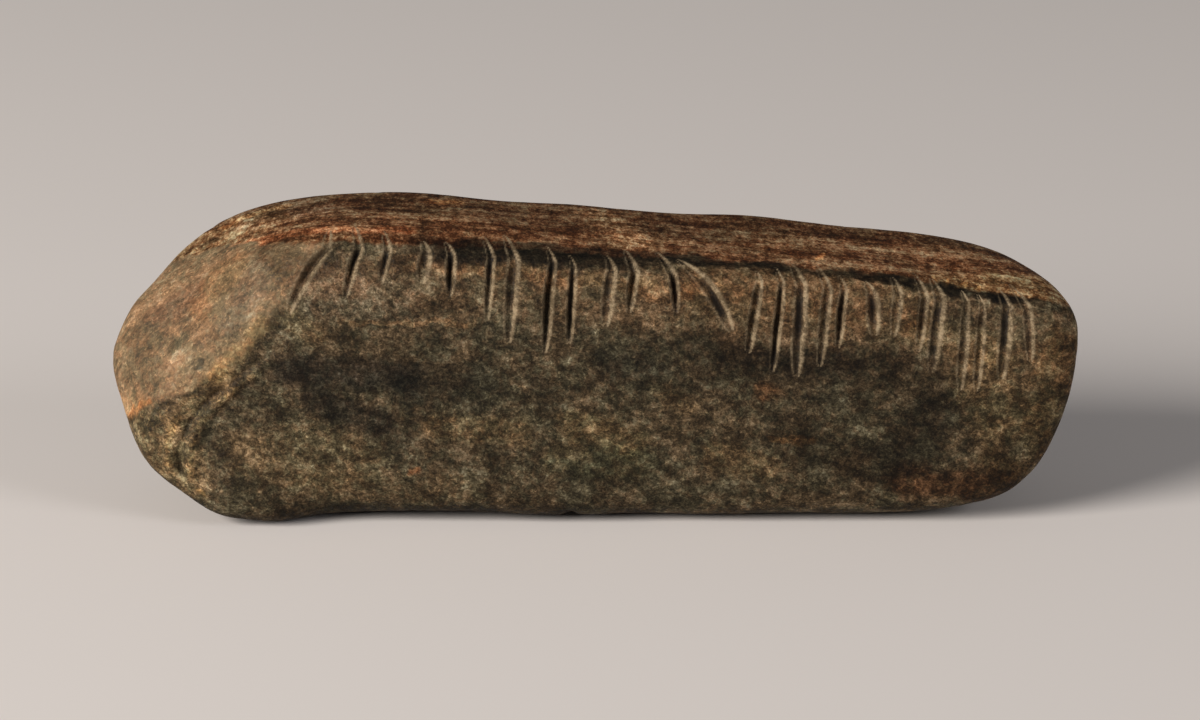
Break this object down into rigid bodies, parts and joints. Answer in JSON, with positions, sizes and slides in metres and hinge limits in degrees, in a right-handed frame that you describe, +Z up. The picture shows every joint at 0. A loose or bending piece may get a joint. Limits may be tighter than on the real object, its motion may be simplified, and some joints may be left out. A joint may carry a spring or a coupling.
{
  "type": "ogham stone",
  "caption": "Small worn sandstone slab lying on its long edge, with runs of short strokes cut across its top front edge.",
  "frame": {"origin": "middle of the bounding box at the bottom, on the flat that the stone rests on", "axes": "+Z up, +X along the stone's length to the right of its inscribed front, -Y out of the inscribed front"},
  "size_m": [0.11, 0.021, 0.0345],
  "materials": {
    "sandstone": "fine-grained brown sandstone, worn smooth, with a low sheen on the raised parts"
  },
  "bodies": {
    "root": {"ogham_stone": "sandstone"}
  },
  "joints": []
}
